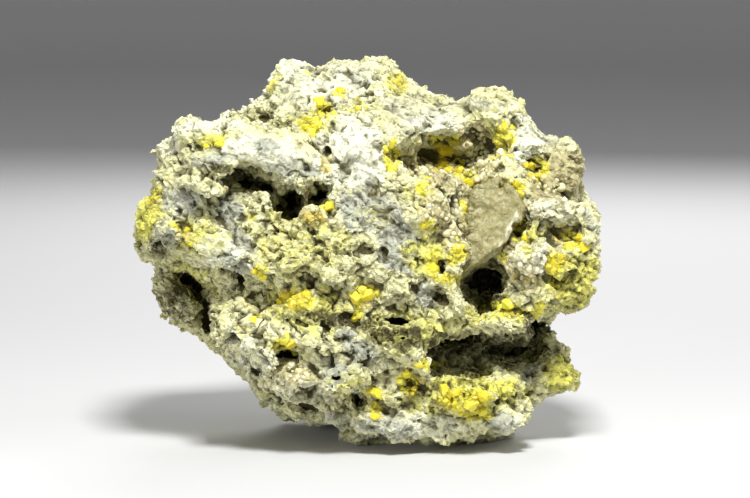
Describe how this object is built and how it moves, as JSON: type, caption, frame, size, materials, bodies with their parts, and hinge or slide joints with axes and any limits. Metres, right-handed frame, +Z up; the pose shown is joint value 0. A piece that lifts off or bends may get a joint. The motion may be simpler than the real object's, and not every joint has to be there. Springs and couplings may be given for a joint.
{
  "type": "native sulfur crystal specimen",
  "caption": "Rough vuggy lump of pale limestone matrix with bright yellow native sulfur crystals in its hollows and tan calcite, standing on a flat cut base.",
  "frame": {"origin": "centre of the bounding box at the level of the flat resting face", "axes": "+Z up, +X to the right of the face with the sulfur crystals, +Y away from a viewer of that face"},
  "size_m": [0.2434, 0.1714, 0.1975],
  "materials": {
    "cream_calcite": "sugary, translucent cream",
    "tan_calcite": "waxy, translucent tan",
    "limestone": "chalky, rough, cream with pale yellow and blue-grey patches",
    "sulfur": "resinous to waxy, bright yellow"
  },
  "bodies": {
    "root": {"calcite_crust_big_vug": "cream_calcite", "calcite_crust_right_bulge": "cream_calcite", "calcite_slab": "tan_calcite", "matrix_rock": "limestone", "sulfur_crust_back_pit": "sulfur", "sulfur_crust_back_vug": "sulfur", "sulfur_crust_big_vug": "sulfur", "sulfur_crust_brow": "sulfur", "sulfur_crust_bulge_vug": "sulfur", "sulfur_crust_foot": "sulfur", "sulfur_crust_lower_left_vug": "sulfur", "sulfur_crust_middle": "sulfur", "sulfur_crust_middle_hollow": "sulfur", "sulfur_crust_recess": "sulfur", "sulfur_crust_top_hollow": "sulfur", "sulfur_crust_under_slab": "sulfur", "sulfur_crust_vug_lip": "sulfur", "sulfur_crust_yellow_pit": "sulfur"}
  },
  "joints": []
}
